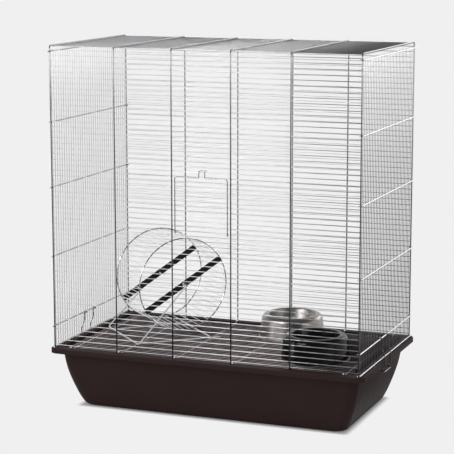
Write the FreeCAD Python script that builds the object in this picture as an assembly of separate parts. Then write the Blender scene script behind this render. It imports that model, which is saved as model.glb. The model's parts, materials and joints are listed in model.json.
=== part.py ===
"""Tall wire cage for small rodents on a deep moulded tray.

Millimetres, +Z up, the front towards -Y, the origin under the middle of the tray.
The wire top stands on the tray's rim and is held by one swinging clip on each side.
Inside are a drop-in floor grille, a running wheel on a wire stand and two bowls.
"""
import FreeCAD, Part
import math
import os

V = FreeCAD.Vector
UP = V(0, 0, 1)
TOUCH = 1e-6

# Wire diameters
FRAME_WIRE = 2.8
BAR_WIRE = 1.5
DOOR_WIRE = 2.2
CLIP_WIRE = 2.0
RING_WIRE = 2.8
RUNG_WIRE = 1.4
STAND_WIRE = 3.2

# Fits: how far crossing wires sink together at a weld, and what runs or rests free
WELD_SET = 0.2
LOOP_CLEARANCE = 0.3
HOOK_CLEARANCE = 0.05
REST_GAP = 0.3

# Wire top: hoop centre to hoop centre, and rim to the roof's hoop centres
TOP_LENGTH = 680.0
TOP_DEPTH = 376.0
TOP_HEIGHT = 646.5
ROOF_BEND = 6.0
MIDDLE_HOOP_SPAN = 130.0
SECOND_HOOP_SPAN = 387.0
ROW_PITCH = 11.46
FIRST_ROW = 6.6
ROOF_PITCH = 11.5
SIDE_PITCH = 10.95
BAR_OVERHANG = 1.0
SIDE_BAR_OVERHANG = 3.0
CLIP_RAIL_RISE = 46.5
LOWER_RAIL_RISE = 198.5
MIDDLE_RAIL_RISE = 347.0
UPPER_RAIL_RISE = 485.5
TOP_RAIL_DROP = 12.5
RAIL_HOOK_ANGLE = 150.0

# Door in the front panel: it hangs on one long wire and closes under another
DOOR_SIDE_GAP = 7.0
HINGE_ROW = 23
DOOR_STEPS = 10
DOOR_CORNER = 4.0
LATCH_X = 2.0
LATCH_WIDTH = 13.0
LATCH_REACH = 14.0

# Tray
RIM_HEIGHT = 134.0
RIM_MARGIN = 11.0
RIM_CORNER = 20.0
RIM_EDGE = 2.5
LIP_HEIGHT = 10.5
TRAY_WALL = 2.5
FLANGE_WIDTH = 18.0
WALL_CORNER = 25.0
WALL_DRAFT = 6.0
WALL_FOOT_ANGLE = 25.0
FOOT_RADIUS = 14.0
WALL_STEPS = 4
FOOT_STEPS = 4

# Floor grille: heavy cross wires with raised ends that lie on the rim
GRILLE_DROP = 1.0
GRILLE_PITCH = 11.5
GRILLE_CORNER_MARGIN = 1.0
GRILLE_OVERHANG = 12.5
GRILLE_END_CLEARANCE = 0.8
CRANK_CLEARANCE = 1.0

# Side clips: legs, hook under the lip and finger tab
CLIP_GAPS_APART = 4
LEFT_CLIP_STEP = -1
RIGHT_CLIP_STEP = -2
CLIP_LEG_CLEARANCE = 1.0
CLIP_SHOULDER = 26.0
CLIP_ELBOW = 7.0
CLIP_HOOK_DROP = 3.0
CLIP_HOOK_REACH = 11.0
CLIP_HOOK_HEIGHT = 5.5
CLIP_TAB_REACH = 10.0
CLIP_TAB_DROP = 4.0
CLIP_BEND = 2.5

# Running wheel, turned in plan, on its wire stand
WHEEL_FROM_LEFT = 172.2
WHEEL_FROM_BACK = 144.2
WHEEL_TURN = -44.5
WHEEL_RADIUS = 102.3
WHEEL_WIDTH = 139.0
RUNG_COUNT = 52
STRAP_WIDTH = 13.0
STRAP_THICKNESS = 2.0
STRAP_ANGLE = 31.0
BUSH_BODY = 8.0
BUSH_COLLAR = 11.0
BUSH_INSIDE = 3.0
BUSH_END_PLAY = 0.5
AXLE_CLEARANCE = 0.08
WHEEL_FLOOR_GAP = 16.5
AXLE_END = 2.5
STAND_GAP = 16.5
STAND_BEND = 5.0
STAND_FOOT_BACK = 115.0
STAND_FOOT_SPLAY = 8.0
STAND_RAIL_FRONT = 75.0
STAND_CROSS_INSET = 25.0
STAND_CROSS_REACH = 5.0
FRONT_RAIL_INSET = 7.0
FRONT_RAIL_SPREAD = 12.0
REAR_RAIL_INSET = 34.0

# Bowls: pressed sheet, the same twice
REAR_BOWL_X = 97.3
REAR_BOWL_WALL_GAP = 3.0
FRONT_BOWL_FROM_RIGHT = 132.8
FRONT_BOWL_FROM_FRONT = 123.4
BOWL_SHEET = 1.0
BOWL_HEIGHT = 50.0
BOWL_MOUTH = 103.0
BOWL_MOUTH_BEND = 2.0
BOWL_TOP_WIDTH = 14.0
BOWL_SHOULDER_BEND = 11.0
BOWL_SKIRT_SPREAD = 6.0
BOWL_FOOT_RISE = 3.0
BOWL_FOOT_SPREAD = 2.0
BOWL_FOOT_BEND = 1.5
BOWL_WALL_FLARE = 9.5
BOWL_FLOOR_RISE = 5.0
BOWL_FLOOR_BEND = 14.0

# Levels and places that follow from the sizes above
HALF_X = TOP_LENGTH / 2
HALF_Y = TOP_DEPTH / 2
ROOF_Z = RIM_HEIGHT + TOP_HEIGHT
RIM_X = HALF_X + RIM_MARGIN
RIM_Y = HALF_Y + RIM_MARGIN
WALL_X = RIM_X - FLANGE_WIDTH
WALL_Y = RIM_Y - FLANGE_WIDTH
LIP_Z = RIM_HEIGHT - LIP_HEIGHT
BAR_STEP = (FRAME_WIRE + BAR_WIRE) / 2 - WELD_SET
HOOP_XS = [side * span / 2 for side, span in (
    (-1, TOP_LENGTH), (-1, SECOND_HOOP_SPAN), (-1, MIDDLE_HOOP_SPAN),
    (1, MIDDLE_HOOP_SPAN), (1, SECOND_HOOP_SPAN), (1, TOP_LENGTH))]
RAIL_X = HALF_X + FRAME_WIRE + HOOK_CLEARANCE
RAIL_ZS = [RIM_HEIGHT + rise for rise in (
    FRAME_WIRE / 2, CLIP_RAIL_RISE, LOWER_RAIL_RISE, MIDDLE_RAIL_RISE, UPPER_RAIL_RISE,
    TOP_HEIGHT - TOP_RAIL_DROP)]
ROW_COUNT = int((TOP_HEIGHT - ROOF_BEND - FIRST_ROW) / ROW_PITCH) + 1
FLOOR_Z = RIM_HEIGHT - GRILLE_DROP
GRILLE_END_X = WALL_X - WALL_CORNER - FRAME_WIRE / 2 - GRILLE_CORNER_MARGIN
GRILLE_XS = [-GRILLE_END_X] + HOOP_XS[1:-1] + [GRILLE_END_X]
GRILLE_RISER_Y = WALL_Y - TRAY_WALL - CRANK_CLEARANCE - FRAME_WIRE / 2
DOOR_LOOP = (BAR_WIRE + DOOR_WIRE) / 2 + LOOP_CLEARANCE
DOOR_Y = -HALF_Y + BAR_STEP - DOOR_LOOP
DOOR_SIDE = MIDDLE_HOOP_SPAN / 2 - DOOR_SIDE_GAP
WHEEL_PLACE = V(WHEEL_FROM_LEFT - HALF_X, HALF_Y - WHEEL_FROM_BACK, 0)
AXLE_Z = FLOOR_Z + WHEEL_FLOOR_GAP + WHEEL_RADIUS + RING_WIRE / 2
STRAP_FACE = (WHEEL_WIDTH + RING_WIRE) / 2 - WELD_SET
LEG_X = WHEEL_WIDTH / 2 + STAND_GAP
BUSH_START = STRAP_FACE - BUSH_INSIDE
BUSH_END = LEG_X - STAND_BEND - BUSH_END_PLAY
STAND_Z = FLOOR_Z + REST_GAP + STAND_WIRE / 2
FOOT_X = LEG_X + STAND_FOOT_SPLAY
FRONT_RAIL_X = FOOT_X - FRONT_RAIL_INSET
REAR_RAIL_X = REAR_RAIL_INSET - FOOT_X
RAIL_START_Y = STAND_WIRE / 2 - WELD_SET - STAND_FOOT_BACK
BOWL_SHOULDER = BOWL_MOUTH / 2 + BOWL_TOP_WIDTH
BOWL_BASE = BOWL_SHOULDER + BOWL_SKIRT_SPREAD
BOWL_FOOT = BOWL_BASE + BOWL_FOOT_SPREAD
BOWL_PLACES = {
    "rear_bowl": (REAR_BOWL_X, WALL_Y - TRAY_WALL - REAR_BOWL_WALL_GAP - BOWL_FOOT),
    "front_bowl": (HALF_X - FRONT_BOWL_FROM_RIGHT, FRONT_BOWL_FROM_FRONT - HALF_Y)}


def row_z(row):
    """Height of a long wire of the front or back, counted from the bottom."""
    return RIM_HEIGHT + FIRST_ROW + row * ROW_PITCH


def centred(pitch, limit):
    """Evenly spaced places either side of the middle, none past the limit."""
    count = int((limit - pitch / 2) / pitch) + 1
    return [(k + 0.5) * pitch for k in range(-count, count)]


def rod(start, end, diameter):
    """Straight round wire."""
    run = end - start
    return Part.makeCylinder(diameter / 2, run.Length, start, run)


def rounded_path(points, bends):
    """Straight runs through the points, with an arc of its own radius at each inner point."""
    edges = []
    here = points[0]
    for before, corner, after, bend in zip(points, points[1:], points[2:], bends):
        back = (before - corner).normalize()
        ahead = (after - corner).normalize()
        half = back.getAngle(ahead) / 2
        arc_start = corner + back * (bend / math.tan(half))
        arc_end = corner + ahead * (bend / math.tan(half))
        arc_middle = corner + (back + ahead).normalize() * (bend / math.sin(half) - bend)
        if (arc_start - here).Length > TOUCH:
            edges.append(Part.LineSegment(here, arc_start).toShape())
        edges.append(Part.Arc(arc_start, arc_middle, arc_end).toShape())
        here = arc_end
    if (points[-1] - here).Length > TOUCH:
        edges.append(Part.LineSegment(here, points[-1]).toShape())
    return edges


def bent_wire(points, diameter, bends):
    """Round wire along the points; bends holds one radius for each inner point."""
    section = Part.Wire(Part.makeCircle(diameter / 2, points[0], points[1] - points[0]))
    return Part.Wire(rounded_path(points, bends)).makePipeShell([section], True, False)


def pressed_sheet(points, bends, thickness):
    """Sheet turned about the Z axis; the points run along its middle in the XZ plane."""
    sides = []
    for shift in (thickness / 2, -thickness / 2):
        normals = []
        for start, end in zip(points, points[1:]):
            run = (end - start).normalize()
            normals.append(V(-run.z, 0, run.x))
        moved = [points[0] + normals[0] * shift]
        radii = []
        for corner, first, second, bend in zip(points[1:], normals, normals[1:], bends):
            moved.append(corner + (first + second) * (shift / (1 + first.dot(second))))
            turn = first.x * second.z - first.z * second.x
            radii.append(bend - math.copysign(shift, turn))
        moved.append(points[-1] + normals[-1] * shift)
        sides.append((moved, rounded_path(moved, radii)))
    (upper, upper_edges), (lower, lower_edges) = sides
    caps = [Part.LineSegment(upper[k], lower[k]).toShape() for k in (0, -1)]
    outline = Part.Wire(Part.__sortEdges__(upper_edges + lower_edges + caps))
    return Part.Face(outline).revolve(V(0, 0, 0), UP, 360)


def rounded_rectangle(half_x, half_y, radius, z):
    """Closed outline in a level plane with round corners."""
    flat_x, flat_y = half_x - radius, half_y - radius
    centres = [V(sx * flat_x, sy * flat_y, z) for sx, sy in ((1, 1), (-1, 1), (-1, -1), (1, -1))]
    edges = []
    for quarter, centre in enumerate(centres):
        angles = [(quarter + k / 2) * math.pi / 2 for k in range(3)]
        arms = [V(math.cos(angle), math.sin(angle), 0) * radius for angle in angles]
        edges.append(Part.Arc(*[centre + arm for arm in arms]).toShape())
        edges.append(Part.LineSegment(centre + arms[2], centres[quarter - 3] + arms[2]).toShape())
    return Part.Wire(edges)


def block(half_x, half_y, radius, low, high):
    """Upright prism with round corners."""
    outline = rounded_rectangle(half_x, half_y, radius, low)
    return Part.Face(outline).extrude(UP * (high - low))


def wall_profile():
    """Inset, height and lean of the tray's outer wall, from under the lip to the floor."""
    top = math.radians(WALL_DRAFT)
    foot = math.radians(WALL_FOOT_ANGLE)
    drop = LIP_Z - FOOT_RADIUS * (1 - math.sin(foot))
    sweep = drop / (math.sin(foot) - math.sin(top))
    profile = []
    for k in range(WALL_STEPS + 1):
        lean = top + (foot - top) * k / WALL_STEPS
        inset = sweep * (math.cos(top) - math.cos(lean))
        profile.append((inset, LIP_Z - sweep * (math.sin(lean) - math.sin(top)), lean))
    wall_inset = profile[-1][0]
    for k in range(1, FOOT_STEPS + 1):
        lean = foot + (math.pi / 2 - foot) * k / FOOT_STEPS
        inset = wall_inset + FOOT_RADIUS * (math.cos(foot) - math.cos(lean))
        profile.append((inset, FOOT_RADIUS * (1 - math.sin(lean)), lean))
    return profile


def basin(skin):
    """Two solids that fill the tray's wall, set in by skin, up to the rim."""
    outlines = []
    for inset, z, lean in wall_profile():
        inward = inset + skin * math.cos(lean)
        radius = WALL_CORNER - skin * math.cos(lean)
        level = z + skin * math.sin(lean)
        outlines.append(rounded_rectangle(WALL_X - inward, WALL_Y - inward, radius, level))
    inward = skin * math.cos(math.radians(WALL_DRAFT))
    top = outlines[0].BoundBox.ZMax
    upper = block(WALL_X - inward, WALL_Y - inward, WALL_CORNER - inward, top, RIM_HEIGHT)
    return [Part.makeLoft(outlines[::-1], True, False), upper]


def base_tray():
    """Deep tray with a flange all round and a lip turned down at its edge."""
    rim = block(RIM_X, RIM_Y, RIM_CORNER, LIP_Z, RIM_HEIGHT)
    rim = rim.makeFillet(RIM_EDGE, [e for e in rim.Edges if e.BoundBox.ZMin > RIM_HEIGHT - TOUCH])
    under = block(RIM_X - TRAY_WALL, RIM_Y - TRAY_WALL, RIM_CORNER - TRAY_WALL, LIP_Z, RIM_HEIGHT - TRAY_WALL)
    shell = rim.cut(under).multiFuse(basin(0.0))
    for inside in basin(TRAY_WALL):
        shell = shell.cut(inside)
    return shell.removeSplitter()


def hoop(x):
    """One frame wire up the front, over the roof and down the back."""
    corners = ((-HALF_Y, RIM_HEIGHT), (-HALF_Y, ROOF_Z), (HALF_Y, ROOF_Z), (HALF_Y, RIM_HEIGHT))
    return bent_wire([V(x, y, z) for y, z in corners], FRAME_WIRE, [ROOF_BEND] * 2)


def long_bar(y, z, from_x=-HALF_X - BAR_OVERHANG, to_x=HALF_X + BAR_OVERHANG):
    """Thin wire along the cage."""
    return rod(V(from_x, y, z), V(to_x, y, z), BAR_WIRE)


def front_bars():
    """Long wires of the front, cut away where the door is."""
    y = -HALF_Y + BAR_STEP
    door_side = MIDDLE_HOOP_SPAN / 2 - BAR_OVERHANG
    bars = []
    for row in range(ROW_COUNT):
        if HINGE_ROW < row <= HINGE_ROW + DOOR_STEPS:
            bars.append(long_bar(y, row_z(row), to_x=-door_side))
            bars.append(long_bar(y, row_z(row), from_x=door_side))
        else:
            bars.append(long_bar(y, row_z(row)))
    return bars


def back_bars():
    """Long wires of the back."""
    return [long_bar(HALF_Y - BAR_STEP, row_z(row)) for row in range(ROW_COUNT)]


def roof_bars():
    """Long wires of the roof, under the hoops."""
    return [long_bar(y, ROOF_Z - BAR_STEP) for y in centred(ROOF_PITCH, HALF_Y - ROOF_BEND)]


def side_bars(side):
    """Upright thin wires of one end panel."""
    x = side * (RAIL_X - BAR_STEP)
    top = RAIL_ZS[-1] + SIDE_BAR_OVERHANG
    places = centred(SIDE_PITCH, HALF_Y - FRAME_WIRE)
    return [rod(V(x, y, RIM_HEIGHT), V(x, y, top), BAR_WIRE) for y in places]


def rail(side, z):
    """Frame wire along one end panel, its ends hooked round the corner hoops."""
    hook = FRAME_WIRE + HOOK_CLEARANCE
    turn = math.radians(RAIL_HOOK_ANGLE - 90)
    tail = hook * math.tan(turn / 2)
    inner = V(HALF_X - tail, HALF_Y + hook, 0)
    tip = inner + V(-math.cos(turn), -math.sin(turn), 0) * tail
    half = [tip, inner, V(RAIL_X, HALF_Y + hook, 0)]
    points = half + [V(p.x, -p.y, 0) for p in half[::-1]]
    return bent_wire([V(side * p.x, p.y, z) for p in points], FRAME_WIRE, [hook] * 4)


def grille_cross_wire(x):
    """Heavy wire across the tray, its raised ends lying on the rim."""
    low = FLOOR_Z - BAR_WIRE / 2 - BAR_STEP
    high = RIM_HEIGHT + FRAME_WIRE / 2
    end = HALF_Y - FRAME_WIRE / 2 - GRILLE_END_CLEARANCE
    half = [(end, high), (GRILLE_RISER_Y, high), (GRILLE_RISER_Y, low)]
    points = [V(x, -y, z) for y, z in half] + [V(x, y, z) for y, z in half[::-1]]
    return bent_wire(points, FRAME_WIRE, [(high - low) / 2] * 4)


def grille_bars():
    """Thin wires of the floor, laid on the cross wires."""
    end = GRILLE_END_X + GRILLE_OVERHANG
    limit = GRILLE_RISER_Y - FRAME_WIRE - BAR_STEP
    return [long_bar(y, FLOOR_Z - BAR_WIRE / 2, -end, end) for y in centred(GRILLE_PITCH, limit)]


def door_frame():
    """One bent wire: a hinge loop, a side, the top with its latch tongue, a side, a hinge loop."""
    hinge = row_z(HINGE_ROW)
    top = row_z(HINGE_ROW + DOOR_STEPS)
    tongue = row_z(HINGE_ROW + DOOR_STEPS + 1) + DOOR_LOOP
    back = DOOR_Y + 2 * DOOR_LOOP
    loop = [(DOOR_Y + DOOR_LOOP, hinge + DOOR_LOOP), (back, hinge + DOOR_LOOP), (back, hinge - DOOR_LOOP),
            (DOOR_Y, hinge - DOOR_LOOP)]
    left, right = LATCH_X - LATCH_WIDTH / 2, LATCH_X + LATCH_WIDTH / 2
    tip = DOOR_Y + LATCH_REACH
    latch = [(left, DOOR_Y, top), (left, DOOR_Y, tongue), (left, tip, tongue),
             (right, tip, tongue), (right, DOOR_Y, tongue), (right, DOOR_Y, top)]
    points = [V(-DOOR_SIDE, y, z) for y, z in loop] + [V(-DOOR_SIDE, DOOR_Y, top)]
    points += [V(*p) for p in latch]
    points += [V(DOOR_SIDE, DOOR_Y, top)] + [V(DOOR_SIDE, y, z) for y, z in loop[::-1]]
    bends = [DOOR_LOOP] * 3 + [DOOR_CORNER] + [DOOR_LOOP] * len(latch) + [DOOR_CORNER] + [DOOR_LOOP] * 3
    return bent_wire(points, DOOR_WIRE, bends)


def door_bars():
    """Thin wires across the door, level with the rows of the panel."""
    y = DOOR_Y + (DOOR_WIRE + BAR_WIRE) / 2 - WELD_SET
    end = DOOR_SIDE + BAR_OVERHANG
    return [long_bar(y, row_z(HINGE_ROW + step), -end, end) for step in range(1, DOOR_STEPS)]


def clip(side, step):
    """One bent wire: loops on the lowest free rail, legs over the rim, hooks under the lip, a finger tab."""
    loop = (FRAME_WIRE + CLIP_WIRE) / 2 + LOOP_CLEARANCE
    rail_z = RAIL_ZS[1]
    leg = RIM_X + CLIP_LEG_CLEARANCE + CLIP_WIRE / 2
    hook_z = LIP_Z - CLIP_HOOK_DROP - CLIP_WIRE / 2
    hook_x = leg - CLIP_HOOK_REACH
    low = hook_z - CLIP_HOOK_HEIGHT
    leg_line = [(RAIL_X, rail_z - loop), (RAIL_X - loop, rail_z - loop), (RAIL_X - loop, rail_z + loop),
                (RAIL_X + loop, rail_z + loop), (RAIL_X + loop, RIM_HEIGHT + CLIP_SHOULDER),
                (leg, RIM_HEIGHT + CLIP_ELBOW), (leg, hook_z), (hook_x, hook_z), (hook_x, low),
                (hook_x + CLIP_TAB_REACH, low - CLIP_TAB_DROP)]
    bends = [loop] * 3 + [CLIP_BEND] * 6
    half = CLIP_GAPS_APART * SIDE_PITCH / 2
    points = [V(side * x, step * SIDE_PITCH - half, z) for x, z in leg_line]
    points += [V(side * x, step * SIDE_PITCH + half, z) for x, z in leg_line[::-1]]
    return bent_wire(points, CLIP_WIRE, bends[:-1] + [CLIP_BEND] * 2 + bends[-2::-1])


def on_stand(shape):
    """Move a shape from the wheel's own frame, with the axle along X, to its place on the floor."""
    shape.rotate(V(0, 0, 0), UP, WHEEL_TURN)
    shape.translate(WHEEL_PLACE)
    return shape


def wheel_ring(x):
    """Round wire hoop of the wheel."""
    return on_stand(Part.makeTorus(WHEEL_RADIUS, RING_WIRE / 2, V(x, 0, AXLE_Z), V(1, 0, 0)))


def wheel_rungs():
    """Thin wires along the wheel, inside its rings."""
    radius = WHEEL_RADIUS - (RING_WIRE + RUNG_WIRE) / 2 + WELD_SET
    end = WHEEL_WIDTH / 2 + BAR_OVERHANG
    rungs = []
    for k in range(RUNG_COUNT):
        angle = 2 * math.pi * k / RUNG_COUNT
        y, z = radius * math.cos(angle), AXLE_Z + radius * math.sin(angle)
        rungs.append(on_stand(rod(V(-end, y, z), V(end, y, z), RUNG_WIRE)))
    return rungs


def wheel_strap(side):
    """Flat bar across the outside of one ring, bored for the bush."""
    shape = Part.makeBox(STRAP_THICKNESS, 2 * WHEEL_RADIUS, STRAP_WIDTH,
                         V(STRAP_FACE, -WHEEL_RADIUS, AXLE_Z - STRAP_WIDTH / 2))
    shape.rotate(V(0, 0, AXLE_Z), V(1, 0, 0), STRAP_ANGLE)
    shape = shape.cut(rod(V(BUSH_START, 0, AXLE_Z), V(BUSH_END, 0, AXLE_Z), BUSH_BODY))
    return on_stand(shape if side > 0 else shape.mirror(V(0, 0, 0), V(1, 0, 0)))


def wheel_bush(side):
    """Bearing through the strap, with a collar outside it, turning on the stand's axle end."""
    stations = (BUSH_START, STRAP_FACE + STRAP_THICKNESS, BUSH_END)
    start, seat, end = [V(side * x, 0, AXLE_Z) for x in stations]
    shape = rod(start, seat, BUSH_BODY).fuse(rod(seat, end, BUSH_COLLAR))
    return on_stand(shape.cut(rod(start, end, STAND_WIRE + 2 * AXLE_CLEARANCE)))


def stand_yoke():
    """One bent wire: axle end, leg, foot bar, leg, axle end."""
    half = [(BUSH_START - AXLE_END, 0, AXLE_Z), (LEG_X, 0, AXLE_Z), (FOOT_X, -STAND_FOOT_BACK, STAND_Z)]
    points = [V(*p) for p in half] + [V(-x, y, z) for x, y, z in half[::-1]]
    return on_stand(bent_wire(points, STAND_WIRE, [STAND_BEND] * 4))


def stand_rail(x, spread):
    """Base wire that lies on the floor, butted to the foot bar; spread moves its far end out."""
    start, end = V(x, RAIL_START_Y, STAND_Z), V(x + spread, STAND_RAIL_FRONT, STAND_Z)
    return on_stand(rod(start, end, STAND_WIRE))


def stand_cross_wire():
    """Wire across the two base wires, a little past both."""
    z = STAND_Z + STAND_WIRE - WELD_SET
    y = STAND_RAIL_FRONT - STAND_CROSS_INSET
    front_x = FRONT_RAIL_X + FRONT_RAIL_SPREAD * (y - RAIL_START_Y) / (STAND_RAIL_FRONT - RAIL_START_Y)
    start, end = V(REAR_RAIL_X - STAND_CROSS_REACH, y, z), V(front_x + STAND_CROSS_REACH, y, z)
    return on_stand(rod(start, end, STAND_WIRE))


def bowl(x, y):
    """Bowl that is hard to tip: an inner bowl, a round shoulder and a skirt that spreads to the foot."""
    mouth = BOWL_MOUTH / 2
    points = [(0, BOWL_FLOOR_RISE), (mouth - BOWL_WALL_FLARE, BOWL_FLOOR_RISE), (mouth, BOWL_HEIGHT),
              (BOWL_SHOULDER, BOWL_HEIGHT), (BOWL_BASE, BOWL_FOOT_RISE), (BOWL_FOOT, 0)]
    bends = [BOWL_FLOOR_BEND, BOWL_MOUTH_BEND, BOWL_SHOULDER_BEND, BOWL_FOOT_BEND]
    shape = pressed_sheet([V(r, 0, z) for r, z in points], bends, BOWL_SHEET)
    shape.translate(V(x, y, FLOOR_Z + REST_GAP - shape.BoundBox.ZMin))
    return shape


def nodes():
    """Every piece by name, as one solid or a group of like solids."""
    pieces = {"base_tray": base_tray()}
    for number, x in enumerate(HOOP_XS, 1):
        pieces[f"hoop_wire_{number}"] = hoop(x)
    pieces["front_bars"] = front_bars()
    pieces["back_bars"] = back_bars()
    pieces["roof_bars"] = roof_bars()
    for side, name in ((-1, "left"), (1, "right")):
        pieces[f"{name}_side_bars"] = side_bars(side)
        for number, z in enumerate(RAIL_ZS, 1):
            pieces[f"{name}_rail_{number}"] = rail(side, z)
    for number, x in enumerate(GRILLE_XS, 1):
        pieces[f"grille_cross_wire_{number}"] = grille_cross_wire(x)
    pieces["grille_bars"] = grille_bars()
    pieces["door_frame"] = door_frame()
    pieces["door_bars"] = door_bars()
    pieces["left_clip"] = clip(-1, LEFT_CLIP_STEP)
    pieces["right_clip"] = clip(1, RIGHT_CLIP_STEP)
    pieces["wheel_rungs"] = wheel_rungs()
    for side, name in ((-1, "rear"), (1, "front")):
        pieces[f"wheel_{name}_ring"] = wheel_ring(side * WHEEL_WIDTH / 2)
        pieces[f"wheel_{name}_strap"] = wheel_strap(side)
        pieces[f"wheel_{name}_bush"] = wheel_bush(side)
    pieces["stand_yoke"] = stand_yoke()
    pieces["stand_front_rail"] = stand_rail(FRONT_RAIL_X, FRONT_RAIL_SPREAD)
    pieces["stand_rear_rail"] = stand_rail(REAR_RAIL_X, 0)
    pieces["stand_cross_wire"] = stand_cross_wire()
    for name, place in BOWL_PLACES.items():
        pieces[name] = bowl(*place)
    return pieces


os.makedirs("parts", exist_ok=True)
for name, piece in nodes().items():
    shape = Part.makeCompound(piece) if isinstance(piece, list) else piece
    shape.exportStep(f"parts/{name}.step")
    print(name, len(shape.Solids), round(shape.Volume, 1), shape.isValid())
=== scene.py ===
"""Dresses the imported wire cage: plated wire, welds, a moulded tray, a running wheel, bowls and a studio."""

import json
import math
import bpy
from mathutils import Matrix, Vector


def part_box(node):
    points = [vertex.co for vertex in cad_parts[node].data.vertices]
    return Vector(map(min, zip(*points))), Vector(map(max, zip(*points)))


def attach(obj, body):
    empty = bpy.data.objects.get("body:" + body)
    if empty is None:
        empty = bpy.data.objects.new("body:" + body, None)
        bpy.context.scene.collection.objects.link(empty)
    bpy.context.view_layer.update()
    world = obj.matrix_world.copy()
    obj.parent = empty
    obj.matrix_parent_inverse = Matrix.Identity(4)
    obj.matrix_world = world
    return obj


bl_info = {
    "name": "Wire Cage Dresser",
    "version": (1, 0, 0),
    "blender": (4, 5, 0),
    "location": "View3D > Sidebar > Cage",
    "description": "Gives a packed wire cage its plated wire, welds, moulded plastic, bowls and studio",
    "category": "Object",
}

import bpy
from bpy.props import FloatProperty, FloatVectorProperty, IntProperty, PointerProperty
from mathutils import Matrix, Vector

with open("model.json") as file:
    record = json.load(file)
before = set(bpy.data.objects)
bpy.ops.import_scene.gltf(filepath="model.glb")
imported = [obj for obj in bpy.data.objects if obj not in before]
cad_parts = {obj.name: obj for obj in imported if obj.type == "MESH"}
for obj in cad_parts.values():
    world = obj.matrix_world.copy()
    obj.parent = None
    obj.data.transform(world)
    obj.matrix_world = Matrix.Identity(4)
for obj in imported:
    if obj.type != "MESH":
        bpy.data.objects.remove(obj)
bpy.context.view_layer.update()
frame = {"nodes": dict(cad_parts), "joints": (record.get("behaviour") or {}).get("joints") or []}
NODES = frame["nodes"]


def numbered(label):
    """Names of the numbered nodes that share a label, in order."""
    return sorted(name for name in NODES if name.startswith(label))


def middle(node):
    """Middle of a node's box."""
    low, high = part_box(node)
    return (low + high) / 2


def extent(node):
    """Size of a node's box."""
    low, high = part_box(node)
    return high - low


def spin_joint():
    """Place and axis of the wheel's axle."""
    joint = next(j for j in frame["joints"] if j["name"] == "wheel_spin")
    return Vector(joint["pos_m"]), Vector(joint["axis"]).normalized()


HOOPS = numbered("hoop_wire_")
LEFT_RAILS = numbered("left_rail_")
RIGHT_RAILS = numbered("right_rail_")
CROSS_WIRES = numbered("grille_cross_wire_")
RINGS = ("wheel_rear_ring", "wheel_front_ring")

# Axes of the frame, and the two sides of a box along one of them
X, Y, Z = range(3)
LOW, HIGH = range(2)
ALONG_X = (1.0, 0.0, 0.0)
ALONG_Z = (0.0, 0.0, 1.0)

# Thin wires: their width and rounded tip, how deep a weld's middle lies in them, and how far they pass the
# wire they end on
BAR_WIRE = extent("front_bars").y
TIP = (BAR_WIRE / 2,) * 3
WELD_SINK = 0.0001
WIRE_OVERHANG = 0.001

# Faces of a bead, round it and from pole to pole
BEAD_SEGMENTS = 8
BEAD_RINGS = 5

# Node trees of beads: name, the shape that holds them and, for each of the shape's sizes, the tree's input,
# its kind and the socket it feeds
ROWS = ("Beads in rows", "GeometryNodeMeshLine",
        (("Rows", "NodeSocketInt", "Count"), ("Row Step", "NodeSocketVector", "Offset")))
CIRCLES = ("Beads in circles", "GeometryNodeMeshCircle",
           (("Count", "NodeSocketInt", "Vertices"), ("Radius", "NodeSocketFloat", "Radius")))

# Distance between the rings of a Wave texture at a scale of 1
RING_PERIOD = 0.314

# The floor and its paint, and the limits between which it turns pale or dark where metal mirrors it
FLOOR_REACH = 60.0
FLOOR_COLOUR = (0.8, 0.8, 0.8, 1.0)
WHITE = (1.0, 1.0, 1.0, 1.0)
PALE_BEHIND = (0.0, 0.6)
PALE_FAR_RIGHT = (1.9, 6.0)
PALE_ROUND_FOOT = (0.1, 0.45)
DARK_RIGHT_OF_FOOT = (0.25, 0.45)

# The sky where metal mirrors it: how far a direction points back and up, and the share that is left high up
SKY_BEHIND = (-0.1, 0.35)
SKY_ABOVE = (0.3, 0.7)
SKY_ABOVE_SHARE = 0.1

# Soft boxes: name, place, width and height, and power in watts. A lamp lights what is dull, and a gleam is
# only mirrored.
LAMPS = (
    ("lamp_left", (-1.75, -2.9, 1.45), (2.0, 2.0), 20.0),
    ("lamp_right", (2.6, 0.9, 1.4), (1.6, 1.6), 2.0),
    ("lamp_above", (0.0, -0.2, 2.9), (2.4, 2.4), 20.0),
    ("gleam_left", (-0.46, -1.5, 0.815), (0.335, 0.47), 6.6),
    ("gleam_far", (-1.02, -1.5, 0.815), (0.72, 0.47), 10.2),
    ("gleam_behind", (1.2, 2.7, 1.5), (1.2, 1.2), 14.0),
    ("gleam_right", (3.2, -0.9, 0.47), (1.6, 0.5), 6.0),
    ("gleam_low", (-0.78, -0.5, 0.32), (0.26, 0.5), 1.2),
)
LAMP_AIM = Vector((0.0, 0.0, 0.4))

# The camera's sensor in millimetres, and how far it sees
SENSOR_WIDTH = 36.0
VIEW_END = 200.0


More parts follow.
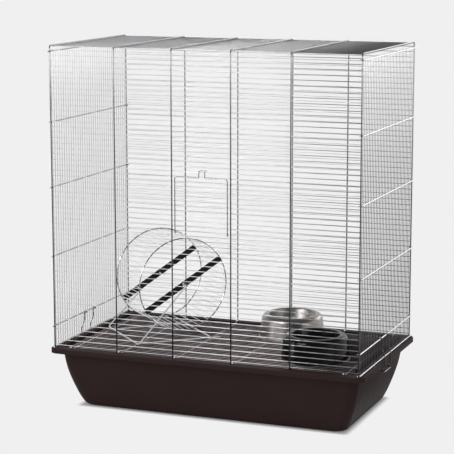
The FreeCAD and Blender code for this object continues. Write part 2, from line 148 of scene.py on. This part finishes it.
class PlatedWireSettings(bpy.types.PropertyGroup):
    """Finish of the wires, whose plate colours carry painted shade and painted highlights, and the welds
    where they cross.
    """

    # The heavy, thin, zinc and floor colours are lit and shaded copies of one zinc plating. The hoops' and
    # clips' dark grey is painted shade for the dark room they mirror.
    heavy_colour: FloatVectorProperty(
        name="Heavy colour", description="Plating of the hoops and the clips", subtype="COLOR",
        default=(0.27, 0.27, 0.28), min=0.0, max=1.0)
    # The long thin wires' pale grey is a painted highlight, for the bright lamps and backdrop they mirror.
    thin_colour: FloatVectorProperty(
        name="Thin colour", description="Plating of the long thin wires", subtype="COLOR",
        default=(0.70, 0.70, 0.71), min=0.0, max=1.0)
    zinc_colour: FloatVectorProperty(
        name="Zinc colour", description="Plating of the end panels, the welds and the door's frame",
        subtype="COLOR", default=(0.57, 0.57, 0.58), min=0.0, max=1.0)
    # The floor grille's dark brown is painted shade and a painted reflection of the brown tray the wires lie
    # in.
    floor_colour: FloatVectorProperty(
        name="Floor colour", description="Plating of the floor grille's long wires", subtype="COLOR",
        default=(0.27, 0.235, 0.235), min=0.0, max=1.0)
    bright_colour: FloatVectorProperty(
        name="Bright colour", description="Plating of the wheel, its stand and the floor's cross wires",
        subtype="COLOR", default=(0.88, 0.88, 0.88), min=0.0, max=1.0)
    # The stand shows mostly dull whitish plating: a painted reflection of the bright room its chrome mirrors.
    stand_metal: FloatProperty(
        name="Stand metal", description="Share of bare metal on the stand's chalky plating",
        subtype="FACTOR", default=0.15, min=0.0, max=1.0)
    roughness: FloatProperty(
        name="Roughness", description="Mean roughness of the plating", subtype="FACTOR",
        default=0.16, min=0.0, max=1.0)
    drawn_roughness: FloatProperty(
        name="Drawn roughness", description="Mean roughness of straight wires across their draw marks",
        subtype="FACTOR", default=0.31, min=0.0, max=1.0)
    spangle: FloatProperty(
        name="Spangle", description="Width of the plating's crystals", unit="LENGTH",
        default=0.0016, min=0.0001)
    weld_spread: FloatProperty(
        name="Weld spread", description="Half width of the metal pressed out at a weld", unit="LENGTH",
        default=0.00125, min=0.0)
    weld_height: FloatProperty(
        name="Weld height", description="Half height of the metal pressed out at a weld", unit="LENGTH",
        default=0.0008, min=0.0)
    panel_rows: IntProperty(
        name="Panel rows", description="Long wires up the front and back", default=56, min=2)
    roof_rows: IntProperty(
        name="Roof rows", description="Long wires across the roof", default=32, min=2)
    uprights: IntProperty(
        name="Uprights", description="Upright wires of one end", default=34, min=2)
    floor_rows: IntProperty(
        name="Floor rows", description="Long wires of the floor grille", default=30, min=2)
    door_rows: IntProperty(
        name="Door rows", description="Wires across the door", default=9, min=2)
    door_first_row: IntProperty(
        name="Door's first row", description="Lowest panel row cut for the door", default=24, min=1)
    rungs: IntProperty(
        name="Rungs", description="Rungs round the wheel", default=52, min=3)


class MouldedSettings(bpy.types.PropertyGroup):
    """Finish of the tray and of the wheel's straps."""

    tray_colour: FloatVectorProperty(
        name="Tray colour", description="Colour of the tray's plastic", subtype="COLOR",
        default=(0.040, 0.0235, 0.0235), min=0.0, max=1.0)
    tray_roughness: FloatProperty(
        name="Tray roughness", description="Mean roughness of the tray", subtype="FACTOR",
        default=0.46, min=0.0, max=1.0)
    tray_grain: FloatProperty(
        name="Tray grain", description="Width of the mould's grain", unit="LENGTH",
        default=0.0007, min=0.0001)
    strap_colour: FloatVectorProperty(
        name="Strap colour", description="Paint of the wheel's straps", subtype="COLOR",
        default=(0.012, 0.011, 0.011), min=0.0, max=1.0)


class BowlSettings(bpy.types.PropertyGroup):
    """Finish of the two bowls."""

    # The steel's own grey is made darker and warmer as a painted reflection of the brown tray.
    steel_colour: FloatVectorProperty(
        name="Steel colour", description="Colour of the polished bowl", subtype="COLOR",
        default=(0.42, 0.395, 0.38), min=0.0, max=1.0)
    enamel_colour: FloatVectorProperty(
        name="Enamel colour", description="Colour of the dark bowl", subtype="COLOR",
        default=(0.006, 0.0055, 0.006), min=0.0, max=1.0)
    spinning_pitch: FloatProperty(
        name="Spinning pitch", description="Distance between the fine rings left by polishing",
        unit="LENGTH", default=0.0008, min=0.0001)
    ripple_pitch: FloatProperty(
        name="Ripple pitch", description="Distance between the soft ripples of the enamel",
        unit="LENGTH", default=0.0048, min=0.0001)


class StageSettings(bpy.types.PropertyGroup):
    """Camera, floor and light."""

    camera_place: FloatVectorProperty(
        name="Camera place", description="Where the camera stands", subtype="TRANSLATION", unit="LENGTH",
        default=(1.3151, -3.3734, 1.0231))
    camera_heading: FloatProperty(
        name="Heading", description="How far the camera stands round to the right", unit="ROTATION",
        default=math.radians(21.55))
    camera_tilt: FloatProperty(
        name="Tilt", description="How far the camera looks down", unit="ROTATION",
        default=math.radians(9.96))
    camera_roll: FloatProperty(
        name="Roll", description="How far the camera leans", unit="ROTATION",
        default=math.radians(-0.07))
    camera_lens: FloatProperty(
        name="Lens", description="Focal length in millimetres", unit="CAMERA", default=135.54, min=1.0)
    backdrop: FloatProperty(
        name="Backdrop", description="Brightness of the backdrop where the camera sees it",
        subtype="FACTOR", default=0.871, min=0.0, max=1.0)
    shadow: FloatProperty(
        name="Shadow", description="How much of the shadow shows on the floor at the tray's foot",
        subtype="FACTOR", default=0.85, min=0.0, max=1.0)
    foot_level: FloatProperty(
        name="Foot level", description="Height under which the tray counts as its foot", unit="LENGTH",
        default=0.002, min=0.0)
    shadow_reach: FloatProperty(
        name="Shadow reach", description="How far from the tray the shadow shows", unit="LENGTH",
        default=0.018, min=0.01)
    sky: FloatProperty(
        name="Sky", description="Strength of the even light from all round", default=0.55, min=0.0)
    dark_side: FloatProperty(
        name="Dark side", description="Brightness of the room behind the camera where metal mirrors it",
        subtype="FACTOR", default=0.05, min=0.0, max=1.0)


def plain_material(name):
    """New node material with one surface shader: the material, its nodes' tree and the shader."""
    material = bpy.data.materials.new(name)
    material.use_nodes = True
    tree = material.node_tree
    tree.nodes.clear()
    output = tree.nodes.new("ShaderNodeOutputMaterial")
    surface = tree.nodes.new("ShaderNodeBsdfPrincipled")
    tree.links.new(surface.outputs["BSDF"], output.inputs["Surface"])
    return material, tree, surface


def object_place(tree):
    """Object coordinates."""
    return tree.nodes.new("ShaderNodeTexCoord").outputs["Object"]


def texture(tree, kind, place, **values):
    """Texture node on a place, with its sockets set by name."""
    node = tree.nodes.new(kind)
    tree.links.new(place, node.inputs["Vector"])
    for socket, value in values.items():
        node.inputs[socket].default_value = value
    return node


def noise(tree, place, **values):
    """Noise on a place, with its sockets set by name: a value from 0 to 1."""
    return texture(tree, "ShaderNodeTexNoise", place, **values).outputs["Fac"]


def tint_by(tree, surface, value, colour, low, high):
    """Colour a surface by a 0 to 1 value, from the colour times low to the colour times high."""
    node = tree.nodes.new("ShaderNodeMix")
    node.data_type = "RGBA"
    for label, factor in (("A", low), ("B", high)):
        node.inputs[label].default_value = (*(min(1.0, channel * factor) for channel in colour), 1.0)
    tree.links.new(value, node.inputs["Factor"])
    tree.links.new(node.outputs["Result"], surface.inputs["Base Color"])


def roughen_by(tree, surface, value, mean, spread):
    """Roughen a surface by a 0 to 1 value, from the spread below the mean to the spread above it."""
    node = tree.nodes.new("ShaderNodeMapRange")
    node.inputs["To Min"].default_value = mean - spread
    node.inputs["To Max"].default_value = mean + spread
    tree.links.new(value, node.inputs["Value"])
    tree.links.new(node.outputs["Result"], surface.inputs["Roughness"])


def bump_by(tree, surface, value, distance, strength):
    """Raise a surface by a 0 to 1 value."""
    node = tree.nodes.new("ShaderNodeBump")
    node.inputs["Distance"].default_value = distance
    node.inputs["Strength"].default_value = strength
    tree.links.new(value, node.inputs["Height"])
    tree.links.new(node.outputs["Normal"], surface.inputs["Normal"])


def stretch_gloss(tree, surface, along):
    """Stretch a surface's gloss as fine marks along a direction do."""
    surface.inputs["Anisotropic"].default_value = 1.0
    across = tree.nodes.new("ShaderNodeVectorMath")
    across.operation = "CROSS_PRODUCT"
    across.inputs[1].default_value = along
    tree.links.new(tree.nodes.new("ShaderNodeNewGeometry").outputs["Normal"], across.inputs[0])
    tree.links.new(across.outputs["Vector"], surface.inputs["Tangent"])


def plated_wire(name, colour, roughness, spangle, along=None, metal=1.0):
    """Plated steel wire: crystals in the plating, dull patches, fine marks and the gloss of drawn wire."""
    material, tree, surface = plain_material(name)
    place = object_place(tree)
    surface.inputs["Metallic"].default_value = metal
    crystals = texture(tree, "ShaderNodeTexVoronoi", place, Scale=1.0 / spangle)
    tint_by(tree, surface, crystals.outputs["Distance"], colour, low=1.1, high=0.82)
    patches = noise(tree, place, Scale=45.0, Detail=5.0, Roughness=0.6)
    roughen_by(tree, surface, patches, mean=roughness, spread=0.03)
    marks = noise(tree, place, Scale=2200.0, Detail=3.0)
    bump_by(tree, surface, marks, distance=0.00003, strength=0.15)
    if along:
        stretch_gloss(tree, surface, along)
    return material


def moulded_plastic(name, colour, roughness, grain):
    """Moulded plastic: spark-eroded grain, soft flow marks and rubbed patches."""
    material, tree, surface = plain_material(name)
    place = object_place(tree)
    surface.inputs["Specular IOR Level"].default_value = 0.03
    flow = noise(tree, place, Scale=7.0, Detail=6.0, Roughness=0.55, Distortion=0.6)
    tint_by(tree, surface, flow, colour, low=0.86, high=1.14)
    rubbed = noise(tree, place, Scale=28.0, Detail=8.0, Roughness=0.7)
    roughen_by(tree, surface, rubbed, mean=roughness, spread=0.12)
    pits = noise(tree, place, Scale=1.0 / grain, Detail=4.0, Roughness=0.65)
    bump_by(tree, surface, pits, distance=0.0002, strength=0.35)
    return material


def satin_paint(name, colour):
    """Satin paint on flat steel: orange peel and thin spots."""
    material, tree, surface = plain_material(name)
    place = object_place(tree)
    surface.inputs["Specular IOR Level"].default_value = 0.3
    thin = noise(tree, place, Scale=160.0, Detail=7.0, Roughness=0.7)
    tint_by(tree, surface, thin, colour, low=0.7, high=1.5)
    roughen_by(tree, surface, thin, mean=0.47, spread=0.13)
    peel = noise(tree, place, Scale=700.0, Detail=2.0)
    bump_by(tree, surface, peel, distance=0.0001, strength=0.25)
    return material


def turning_rings(tree, centre, pitch):
    """Fine rings about an upright axis through the centre: a value from 0 to 1."""
    shift = tree.nodes.new("ShaderNodeMapping")
    shift.inputs["Location"].default_value = (-centre.x, -centre.y, 0.0)
    tree.links.new(object_place(tree), shift.inputs["Vector"])
    rings = texture(tree, "ShaderNodeTexWave", shift.outputs["Vector"], Scale=RING_PERIOD / pitch,
                    Distortion=1.5, Detail=3.0)
    rings.wave_type = "RINGS"
    rings.rings_direction = "Z"
    return rings.outputs["Fac"]


def spun_steel(name, colour, centre, pitch):
    """Polished sheet steel with fine turning rings and water marks."""
    material, tree, surface = plain_material(name)
    surface.inputs["Metallic"].default_value = 1.0
    rings = turning_rings(tree, centre, pitch)
    tint_by(tree, surface, rings, colour, low=0.93, high=1.05)
    marks = noise(tree, object_place(tree), Scale=55.0, Detail=6.0, Roughness=0.62)
    roughen_by(tree, surface, marks, mean=0.34, spread=0.08)
    bump_by(tree, surface, rings, distance=0.00002, strength=0.3)
    return material


def gloss_enamel(name, colour, centre, pitch):
    """Deep gloss enamel with a soft ripple and a few dull marks."""
    material, tree, surface = plain_material(name)
    surface.inputs["Specular IOR Level"].default_value = 0.22
    marks = noise(tree, object_place(tree), Scale=60.0, Detail=7.0, Roughness=0.66)
    tint_by(tree, surface, marks, colour, low=0.7, high=1.6)
    roughen_by(tree, surface, marks, mean=0.11, spread=0.05)
    ripple = turning_rings(tree, centre, pitch)
    bump_by(tree, surface, ripple, distance=0.00003, strength=0.2)
    return material


def finish(name, make, *values):
    """A finish by name, made once."""
    return bpy.data.materials.get(name) or make(name, *values)


def plate(kind, along=None):
    """Finish of one kind of wire, in its lit or shaded copy of the plating's colour: bent, or straight along
    a direction.
    """
    wire = bpy.context.scene.cage_wire
    name, roughness = (f"{kind}_drawn", wire.drawn_roughness) if along else (f"{kind}_bent", wire.roughness)
    return finish(name, plated_wire, getattr(wire, f"{kind}_colour"), roughness, wire.spangle, along)


def dress(material, *names):
    """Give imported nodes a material."""
    for name in names:
        materials = NODES[name].data.materials
        materials.clear()
        materials.append(material)


def fed(tree, kind, **sources):
    """Outputs of a new node whose sockets are fed by these sources."""
    node = tree.nodes.new(kind)
    for label, source in sources.items():
        tree.links.new(source, node.inputs[label])
    return node.outputs


def bead_tree(name, shape, sizes):
    """Node tree that sets the shape at each given point and a bead at each point of the shape, made once."""
    if name in bpy.data.node_groups:
        return bpy.data.node_groups[name]
    tree = bpy.data.node_groups.new(name, "GeometryNodeTree")
    inputs = (("Geometry", "NodeSocketGeometry"), *((label, kind) for label, kind, socket in sizes),
              ("Turn", "NodeSocketRotation"), ("Bead Size", "NodeSocketVector"),
              ("Finish", "NodeSocketMaterial"))
    for label, kind in inputs:
        tree.interface.new_socket(label, in_out="INPUT", socket_type=kind)
    tree.interface.new_socket("Geometry", in_out="OUTPUT", socket_type="NodeSocketGeometry")
    given = tree.nodes.new("NodeGroupInput").outputs
    pattern = fed(tree, shape, **{socket: given[label] for label, kind, socket in sizes})
    patterns = fed(tree, "GeometryNodeInstanceOnPoints", Points=given["Geometry"], Instance=pattern["Mesh"],
                   Rotation=given["Turn"])
    places = fed(tree, "GeometryNodeRealizeInstances", Geometry=patterns["Instances"])
    ball = tree.nodes.new("GeometryNodeMeshUVSphere")
    ball.inputs["Segments"].default_value = BEAD_SEGMENTS
    ball.inputs["Rings"].default_value = BEAD_RINGS
    balls = fed(tree, "GeometryNodeInstanceOnPoints", Points=places["Geometry"],
                Instance=ball.outputs["Mesh"], Rotation=given["Turn"], Scale=given["Bead Size"])
    real = fed(tree, "GeometryNodeRealizeInstances", Geometry=balls["Instances"])
    smooth = fed(tree, "GeometryNodeSetShadeSmooth", Geometry=real["Geometry"])
    coat = fed(tree, "GeometryNodeSetMaterial", Geometry=smooth["Geometry"], Material=given["Finish"])
    fed(tree, "NodeGroupOutput", Geometry=coat["Geometry"])
    return tree


def grown(name, tree, points, body, slot, **values):
    """Plain mesh that a tree makes from some points, riding on a body."""
    seed = bpy.data.meshes.new(name + "_seed")
    seed.from_pydata([tuple(p) for p in points], [], [])
    source = bpy.data.objects.new(name + "_seed", seed)
    bpy.context.scene.collection.objects.link(source)
    modifier = source.modifiers.new("Grow", "NODES")
    modifier.node_group = tree
    sockets = {s.name: s.identifier for s in tree.interface.items_tree if s.in_out == "INPUT"}
    for label, value in values.items():
        modifier[sockets[label.replace("_", " ")]] = value
    bpy.context.view_layer.update()
    made = bpy.data.meshes.new_from_object(source.evaluated_get(bpy.context.evaluated_depsgraph_get()))
    bpy.data.objects.remove(source)
    bpy.data.meshes.remove(seed)
    made.name = name
    piece = bpy.data.objects.new(name, made)
    bpy.context.scene.collection.objects.link(piece)
    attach(piece, body)


def beads(name, points, rows, step, size, body="cage"):
    """Rows of beads plated with zinc, one row from each point."""
    grown(name, bead_tree(*ROWS), points, body, "zinc_wire", Rows=rows, Row_Step=tuple(step),
          Turn=(0.0, 0.0, 0.0), Bead_Size=tuple(size), Finish=plate("zinc"))


def first_and_step(node, axis, count):
    """First wire's middle and the step between wires of a node, along an axis."""
    low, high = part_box(node)
    first = low[axis] + BAR_WIRE / 2
    return first, (high[axis] - BAR_WIRE / 2 - first) / (count - 1)


def welded_panel(node, count, run, repeat, side, crossings, body="cage", ends=(LOW, HIGH)):
    """Add the welds and rounded ends of a panel of thin wires.

    The wires run along one axis and repeat along another. The wires that carry them lie on one side of the
    panel, along the third axis, and cross them at the given places of their run.
    """
    wire = bpy.context.scene.cage_wire
    face = X + Y + Z - run - repeat
    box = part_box(node)
    first, step = first_and_step(node, repeat, count)
    stride = Vector()
    stride[repeat] = step
    bead = Vector((wire.weld_spread,) * 3)
    bead[face] = wire.weld_height
    seam = box[side][face] + (WELD_SINK if side == LOW else -WELD_SINK)

    def start(along, across):
        """Place on the first wire."""
        place = Vector()
        place[run], place[repeat], place[face] = along, first, across
        return place

    starts = [start(crossing, seam) for crossing in crossings]
    beads(node.replace("bars", "welds"), starts, count, stride, bead, body)
    tips = [start(box[end][run], middle(node)[face]) for end in ends]
    beads(node.replace("bars", "wire_ends"), tips, count, stride, TIP, body)


class CAGE_OT_moulded_tray(bpy.types.Operator):
    """Give the deep tray its grained plastic"""

    bl_idname = "cage.moulded_tray"
    bl_label = "Moulded Tray"

    def execute(self, context):
        moulded = context.scene.cage_moulded
        dress(finish("tray_plastic_grain", moulded_plastic, moulded.tray_colour, moulded.tray_roughness,
                     moulded.tray_grain), "base_tray")
        return {"FINISHED"}


class CAGE_OT_wire_top(bpy.types.Operator):
    """Plate the wire top, and add its welds and rounded wire ends"""

    bl_idname = "cage.wire_top"
    bl_label = "Wire Top"

    def execute(self, context):
        wire = context.scene.cage_wire
        # The hoops take the copy of the plating with painted shade, and the long thin wires the one with a
        # painted highlight.
        dress(plate("heavy"), *HOOPS)
        dress(plate("thin", ALONG_X), "front_bars", "back_bars", "roof_bars")
        dress(plate("zinc"), *LEFT_RAILS, *RIGHT_RAILS)
        dress(plate("zinc", ALONG_Z), "left_side_bars", "right_side_bars")
        hoops = [middle(hoop).x for hoop in HOOPS]
        welded_panel("front_bars", wire.panel_rows, run=X, repeat=Z, side=LOW, crossings=hoops)
        welded_panel("back_bars", wire.panel_rows, run=X, repeat=Z, side=HIGH, crossings=hoops)
        welded_panel("roof_bars", wire.roof_rows, run=X, repeat=Y, side=HIGH, crossings=hoops)
        for end, side, rails in (("left", LOW, LEFT_RAILS), ("right", HIGH, RIGHT_RAILS)):
            heights = [middle(rail).z for rail in rails]
            welded_panel(f"{end}_side_bars", wire.uprights, run=Z, repeat=Y, side=side, crossings=heights,
                         ends=(HIGH,))
        return {"FINISHED"}


class CAGE_OT_floor_grille(bpy.types.Operator):
    """Plate the floor grille, and add its welds and wire ends"""

    bl_idname = "cage.floor_grille"
    bl_label = "Floor Grille"

    def execute(self, context):
        wire = context.scene.cage_wire
        dress(plate("bright"), *CROSS_WIRES)
        # The grille's long wires take the copy of the plating with painted shade and a painted tray
        # reflection.
        dress(plate("floor", ALONG_X), "grille_bars")
        crossings = [middle(cross).x for cross in CROSS_WIRES]
        welded_panel("grille_bars", wire.floor_rows, run=X, repeat=Y, side=LOW, crossings=crossings)
        return {"FINISHED"}


class CAGE_OT_front_door(bpy.types.Operator):
    """Plate the door, and add its welds and the cut wire ends beside it"""

    bl_idname = "cage.front_door"
    bl_label = "Front Door"

    def execute(self, context):
        wire = context.scene.cage_wire
        dress(plate("zinc"), "door_frame")
        dress(plate("thin", ALONG_X), "door_bars")
        low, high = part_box("door_bars")
        sides = (low.x + WIRE_OVERHANG, high.x - WIRE_OVERHANG)
        welded_panel("door_bars", wire.door_rows, run=X, repeat=Z, side=LOW, crossings=sides, body="door")
        first, step = first_and_step("front_bars", Z, wire.panel_rows)
        lowest = first + wire.door_first_row * step
        cut = middle("hoop_wire_4").x - WIRE_OVERHANG
        tips = [(x, middle("front_bars").y, lowest) for x in (-cut, cut)]
        beads("door_gap_wire_ends", tips, wire.door_rows + 1, (0.0, 0.0, step), TIP)
        return {"FINISHED"}


class CAGE_OT_side_clips(bpy.types.Operator):
    """Plate the two side clips"""

    bl_idname = "cage.side_clips"
    bl_label = "Side Clips"

    def execute(self, context):
        dress(plate("heavy"), "left_clip", "right_clip")
        return {"FINISHED"}


class CAGE_OT_running_wheel(bpy.types.Operator):
    """Plate the wheel, paint its straps, and add the rungs' welds"""

    bl_idname = "cage.running_wheel"
    bl_label = "Running Wheel"

    def execute(self, context):
        wire, moulded = context.scene.cage_wire, context.scene.cage_moulded
        hub, axis = spin_joint()
        dress(plate("bright"), "wheel_front_bush", "wheel_rear_bush", *RINGS)
        dress(plate("bright", tuple(axis)), "wheel_rungs")
        paint = finish("strap_paint", satin_paint, moulded.strap_colour)
        dress(paint, "wheel_front_strap", "wheel_rear_strap")
        # Half a ring's box is its radius plus half its wire along z. Along x the ring is turned away, so its
        # radius counts only by the axis's share along y.
        half = extent(RINGS[0]) / 2
        radius = (half.z - half.x) / (1.0 - abs(axis.y))
        seam = radius - (half.z - radius) + WELD_SINK
        reach = (middle(RINGS[1]) - middle(RINGS[0])).length / 2
        centres = [hub - axis * reach, hub + axis * reach]
        turn = tuple(axis.to_track_quat("Z", "Y").to_euler())
        grown("rung_welds", bead_tree(*CIRCLES), centres, "wheel", "bright_wire",
              Count=wire.rungs, Radius=seam, Turn=turn,
              Bead_Size=(wire.weld_spread, wire.weld_spread, wire.weld_height), Finish=plate("bright"))
        return {"FINISHED"}


class CAGE_OT_wheel_stand(bpy.types.Operator):
    """Plate the wheel's stand"""

    bl_idname = "cage.wheel_stand"
    bl_label = "Wheel Stand"

    def execute(self, context):
        wire = context.scene.cage_wire
        # Dull whitish plating on the stand is a painted reflection standing in for its mirroring chrome.
        dress(finish("stand_plate", plated_wire, wire.bright_colour, wire.roughness, wire.spangle, None,
                     wire.stand_metal),
              "stand_yoke", "stand_front_rail", "stand_rear_rail", "stand_cross_wire")
        return {"FINISHED"}


class CAGE_OT_bowls(bpy.types.Operator):
    """Polish the rear bowl and enamel the front one"""

    bl_idname = "cage.bowls"
    bl_label = "Bowls"

    def execute(self, context):
        bowl = context.scene.cage_bowl
        dress(finish("spun_bowl_steel", spun_steel, bowl.steel_colour, middle("rear_bowl"),
                     bowl.spinning_pitch), "rear_bowl")
        dress(finish("bowl_enamel", gloss_enamel, bowl.enamel_colour, middle("front_bowl"),
                     bowl.ripple_pitch), "front_bowl")
        return {"FINISHED"}


class CAGE_OT_studio(bpy.types.Operator):
    """Set the floor, the light and the camera"""

    bl_idname = "cage.studio"
    bl_label = "Studio"

    def execute(self, context):
        stage = context.scene.cage_stage
        context.scene.view_settings.view_transform = "Standard"
        self.floor(stage)
        self.sky(stage)
        self.lamps()
        self.camera(context, stage)
        return {"FINISHED"}

    @staticmethod
    def joined(tree, operation, *values):
        """Numbers or sockets put together by a Math node."""
        node = tree.nodes.new("ShaderNodeMath")
        node.operation = operation
        for socket, value in zip(node.inputs, values):
            if isinstance(value, (int, float)):
                socket.default_value = value
            else:
                tree.links.new(value, socket)
        return node.outputs[0]

    @staticmethod
    def mixed(tree, share, first, second):
        """Two shaders mixed by the second one's share."""
        node = tree.nodes.new("ShaderNodeMixShader")
        for socket, source in zip(node.inputs, (share, first, second)):
            tree.links.new(source, socket)
        return node.outputs["Shader"]

    @staticmethod
    def ramp(tree, value, limits, start=0.0, end=1.0):
        """Smooth step of a value from start to end between two limits."""
        node = tree.nodes.new("ShaderNodeMapRange")
        node.interpolation_type = "SMOOTHSTEP"
        for label, number in zip(("From Min", "From Max", "To Min", "To Max"), (*limits, start, end)):
            node.inputs[label].default_value = number
        tree.links.new(value, node.inputs["Value"])
        return node.outputs["Result"]

    def seen(self, tree):
        """1 for rays from the camera or off a mirror or through glass, and 1 for those off a mirror alone."""
        rays = tree.nodes.new("ShaderNodeLightPath").outputs
        mirrored = rays["Is Glossy Ray"]
        direct = self.joined(tree, "MAXIMUM", rays["Is Camera Ray"], rays["Is Transmission Ray"])
        return self.joined(tree, "MAXIMUM", direct, mirrored), mirrored

    def level(self, tree, stage, mirrored, bright):
        """Backdrop's brightness: even to the camera, and darker off a mirror where bright is 0."""
        lit = self.joined(tree, "MULTIPLY_ADD", bright, 1.0 - stage.dark_side, stage.dark_side)
        plain = self.joined(tree, "SUBTRACT", 1.0, mirrored)
        return self.joined(tree, "MULTIPLY", self.joined(tree, "MAXIMUM", plain, lit), stage.backdrop)

    def from_foot(self, tree, stage, axes):
        """Distance from the tray's foot, level with the floor."""
        foot = [v.co for v in NODES["base_tray"].data.vertices if v.co.z < stage.foot_level]
        squares = []
        for label, half in (("X", max(point.x for point in foot)), ("Y", max(point.y for point in foot))):
            size = self.joined(tree, "ABSOLUTE", axes[label])
            outside = self.joined(tree, "MAXIMUM", self.joined(tree, "SUBTRACT", size, half), 0.0)
            squares.append(self.joined(tree, "POWER", outside, 2.0))
        return self.joined(tree, "SQRT", self.joined(tree, "ADD", *squares))

    def floor_paint(self, stage):
        """Paint that looks even, keeps the shadow by the tray's foot and is mirrored pale or dark."""
        material = bpy.data.materials.new("studio_floor_paint")
        material.use_nodes = True
        tree = material.node_tree
        tree.nodes.clear()
        output = tree.nodes.new("ShaderNodeOutputMaterial")
        paint = tree.nodes.new("ShaderNodeBsdfDiffuse")
        paint.inputs["Color"].default_value = FLOOR_COLOUR
        glow = tree.nodes.new("ShaderNodeEmission")
        glow.inputs["Color"].default_value = WHITE
        axes = fed(tree, "ShaderNodeSeparateXYZ", Vector=object_place(tree))
        distance = self.from_foot(tree, stage, axes)
        near = self.joined(tree, "MULTIPLY", self.ramp(tree, distance, PALE_ROUND_FOOT, 1.0, 0.0),
                           self.ramp(tree, axes["X"], DARK_RIGHT_OF_FOOT, 1.0, 0.0))
        behind = self.ramp(tree, axes["Y"], PALE_BEHIND)
        right = self.ramp(tree, axes["X"], PALE_FAR_RIGHT)
        bright = self.joined(tree, "MAXIMUM", self.joined(tree, "MAXIMUM", near, behind), right)
        seen, mirrored = self.seen(tree)
        tree.links.new(self.level(tree, stage, mirrored, bright), glow.inputs["Strength"])
        shadow = self.ramp(tree, distance, (0.0, stage.shadow_reach), stage.shadow, 0.0)
        shown = self.mixed(tree, shadow, glow.outputs["Emission"], paint.outputs["BSDF"])
        both = self.mixed(tree, seen, paint.outputs["BSDF"], shown)
        tree.links.new(both, output.inputs["Surface"])
        return material

    def floor(self, stage):
        """Wide pale floor."""
        mesh = bpy.data.meshes.new("studio_floor")
        reach = FLOOR_REACH
        corners = [(-reach, -reach, 0.0), (reach, -reach, 0.0), (reach, reach, 0.0), (-reach, reach, 0.0)]
        mesh.from_pydata(corners, [], [(0, 1, 2, 3)])
        mesh.materials.append(self.floor_paint(stage))
        floor = bpy.data.objects.new("studio_floor", mesh)
        bpy.context.scene.collection.objects.link(floor)

    def sky(self, stage):
        """Even light all round. Metal mirrors a pale backdrop low behind the cage, and a dark room."""
        world = bpy.data.worlds.new("studio_sky")
        bpy.context.scene.world = world
        world.use_nodes = True
        tree = world.node_tree
        tree.nodes.clear()
        output = tree.nodes.new("ShaderNodeOutputWorld")
        light = tree.nodes.new("ShaderNodeBackground")
        light.inputs["Strength"].default_value = stage.sky
        pale = tree.nodes.new("ShaderNodeBackground")
        for node in (light, pale):
            node.inputs["Color"].default_value = WHITE
        direction = tree.nodes.new("ShaderNodeTexCoord").outputs["Generated"]
        axes = fed(tree, "ShaderNodeSeparateXYZ", Vector=direction)
        behind = self.joined(tree, "MULTIPLY", self.ramp(tree, axes["Y"], SKY_BEHIND),
                             self.ramp(tree, axes["Z"], SKY_ABOVE, 1.0, SKY_ABOVE_SHARE))
        seen, mirrored = self.seen(tree)
        tree.links.new(self.level(tree, stage, mirrored, behind), pale.inputs["Strength"])
        both = self.mixed(tree, seen, light.outputs["Background"], pale.outputs["Background"])
        tree.links.new(both, output.inputs["Surface"])

    @staticmethod
    def lamps():
        """Lamps that light what is dull, and gleams that only metal and gloss mirror."""
        for name, place, size, power in LAMPS:
            data = bpy.data.lights.new(name, "AREA")
            data.shape = "RECTANGLE"
            data.size, data.size_y = size
            data.energy = power
            lamp = bpy.data.objects.new(name, data)
            lamp.location = place
            lamp.rotation_euler = (LAMP_AIM - Vector(place)).to_track_quat("-Z", "Y").to_euler()
            lamp.visible_camera = False
            lamp.visible_diffuse = name.startswith("lamp")
            lamp.visible_glossy = not lamp.visible_diffuse
            bpy.context.scene.collection.objects.link(lamp)

    @staticmethod
    def camera(context, stage):
        """Camera where the picture was taken from."""
        data = bpy.data.cameras.new("studio_camera")
        data.sensor_width = SENSOR_WIDTH
        data.lens = stage.camera_lens
        data.clip_end = VIEW_END
        camera = bpy.data.objects.new("studio_camera", data)
        context.scene.collection.objects.link(camera)
        turn = Matrix.Rotation(stage.camera_heading, 4, "Z")
        tip = Matrix.Rotation(math.pi / 2 - stage.camera_tilt, 4, "X")
        lean = Matrix.Rotation(stage.camera_roll, 4, "Z")
        camera.matrix_world = Matrix.Translation(stage.camera_place) @ turn @ tip @ lean
        context.scene.camera = camera


PIECES = (
    CAGE_OT_moulded_tray,
    CAGE_OT_wire_top,
    CAGE_OT_floor_grille,
    CAGE_OT_front_door,
    CAGE_OT_side_clips,
    CAGE_OT_running_wheel,
    CAGE_OT_wheel_stand,
    CAGE_OT_bowls,
    CAGE_OT_studio,
)


class CAGE_PT_sidebar(bpy.types.Panel):
    """Sidebar panel with the cage's pieces"""

    bl_idname = "CAGE_PT_sidebar"
    bl_label = "Wire Cage"
    bl_space_type = "VIEW_3D"
    bl_region_type = "UI"
    bl_category = "Cage"

    def draw(self, context):
        for piece in PIECES:
            self.layout.operator(piece.bl_idname)


SETTINGS = {
    "cage_wire": PlatedWireSettings,
    "cage_moulded": MouldedSettings,
    "cage_bowl": BowlSettings,
    "cage_stage": StageSettings,
}


def register():
    """Add the settings, the pieces and the panel to Blender."""
    for label, group in SETTINGS.items():
        bpy.utils.register_class(group)
        setattr(bpy.types.Scene, label, PointerProperty(type=group))
    for piece in PIECES:
        bpy.utils.register_class(piece)
    bpy.utils.register_class(CAGE_PT_sidebar)


def unregister():
    """Take them out again."""
    bpy.utils.unregister_class(CAGE_PT_sidebar)
    for piece in reversed(PIECES):
        bpy.utils.unregister_class(piece)
    for label, group in reversed(SETTINGS.items()):
        delattr(bpy.types.Scene, label)
        bpy.utils.unregister_class(group)


def main():
    """Dress every piece and set the stage."""
    register()
    bpy.ops.cage.moulded_tray()
    bpy.ops.cage.wire_top()
    bpy.ops.cage.floor_grille()
    bpy.ops.cage.front_door()
    bpy.ops.cage.side_clips()
    bpy.ops.cage.running_wheel()
    bpy.ops.cage.wheel_stand()
    bpy.ops.cage.bowls()
    bpy.ops.cage.studio()


if __name__ == "__main__":
    main()
